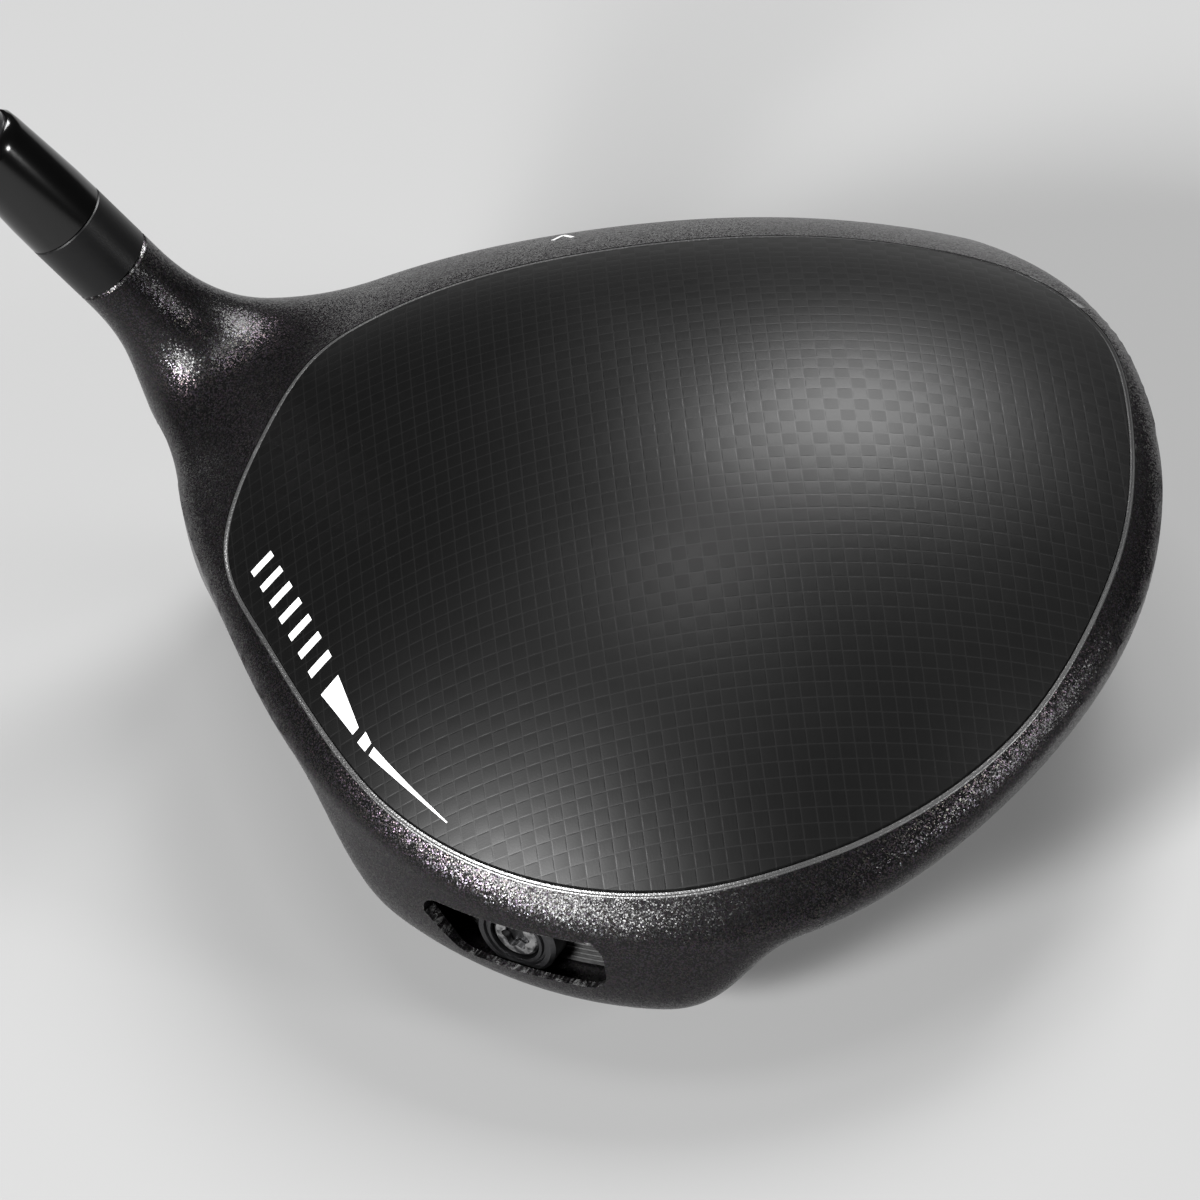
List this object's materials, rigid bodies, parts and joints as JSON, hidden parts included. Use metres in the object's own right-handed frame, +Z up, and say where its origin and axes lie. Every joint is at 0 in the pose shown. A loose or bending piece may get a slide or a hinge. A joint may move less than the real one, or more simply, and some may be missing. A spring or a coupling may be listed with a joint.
{
  "type": "golf driver",
  "caption": "Right-handed oversize golf driver with a carbon crown insert, adjustable hosel adapter, sliding rear weight, tapered shaft and rubber grip.",
  "frame": {"origin": "centre of the small flat on the sole, on the ground plane, with the club in its address position", "axes": "+Z up, +Y along the target line (the face looks along +Y), +X from heel to toe"},
  "size_m": [0.7042, 0.124, 0.9971],
  "materials": {
    "satin_black_paint": "satin black paint with fine metal flake",
    "face_metal": "dark brushed face",
    "carbon_weave": "satin plain-weave carbon",
    "bright_line": "thin bright bond line",
    "track_plastic": "moulded black, ribbed",
    "dark_steel": "black oxide steel",
    "steel": "machined",
    "adapter_black": "satin black anodised",
    "ferrule_gloss": "polished gloss black",
    "shaft_paint": "clear-coated dark grey carbon shaft",
    "grip_rubber": "moulded rubber with a fine tread",
    "tape": "double-sided paper tape",
    "plug": "cork-like plug"
  },
  "bodies": {
    "shaft_assembly": {"adapter_sleeve": "adapter_black", "ferrule": "ferrule_gloss", "shaft": "shaft_paint", "shaft_tip_plug": "plug", "grip_tape": "tape", "grip": "grip_rubber", "grip_cap": "grip_rubber"},
    "head": {"head_body": "satin_black_paint", "face_plate": "face_metal", "crown_insert": "carbon_weave", "crown_bond_line": "bright_line", "sole_panel_toe": "carbon_weave", "sole_panel_heel": "carbon_weave", "track_rail": "track_plastic", "hosel_seat": "steel", "bolt_washer": "steel", "bolt_retainer": "track_plastic"},
    "adapter_bolt": {"adapter_bolt": "steel"},
    "slider": {"slider_weight": "dark_steel", "slider_nut": "steel"},
    "slider_washer": {"slider_washer": "steel"},
    "slider_screw": {"slider_screw": "dark_steel"}
  },
  "joints": [
    {"name": "head_release", "type": "slide", "parent": "shaft_assembly", "child": "head", "axis": [0.515, 0, -0.8572], "range_m": [0, 0.0072]},
    {"name": "adapter_bolt_turn", "type": "hinge", "parent": "head", "child": "adapter_bolt", "pos_m": [-0.05203, 0.0392, 0.02057], "axis": [0.515, 0, -0.8572], "range_deg": [0, 3240]},
    {"name": "weight_travel", "type": "hinge", "parent": "head", "child": "slider", "pos_m": [0.0013, -0.0115, 0.0185], "axis": [0, 0, 1], "range_deg": [-6, 8]},
    {"name": "weight_screw_lift", "type": "slide", "parent": "slider", "child": "slider_washer", "axis": [-0.527, -0.8499, 0], "range_m": [0, 0.0014]},
    {"name": "weight_screw_turn", "type": "hinge", "parent": "slider_washer", "child": "slider_screw", "pos_m": [-0.02768, -0.05824, 0.0185], "axis": [-0.527, -0.8499, 0], "range_deg": [0, 720]}
  ],
  "couplings": [
    {"joint": "adapter_bolt_turn", "follows": "head_release", "rad_per_m": 7854},
    {"joint": "weight_screw_turn", "follows": "weight_screw_lift", "rad_per_m": 8976}
  ]
}
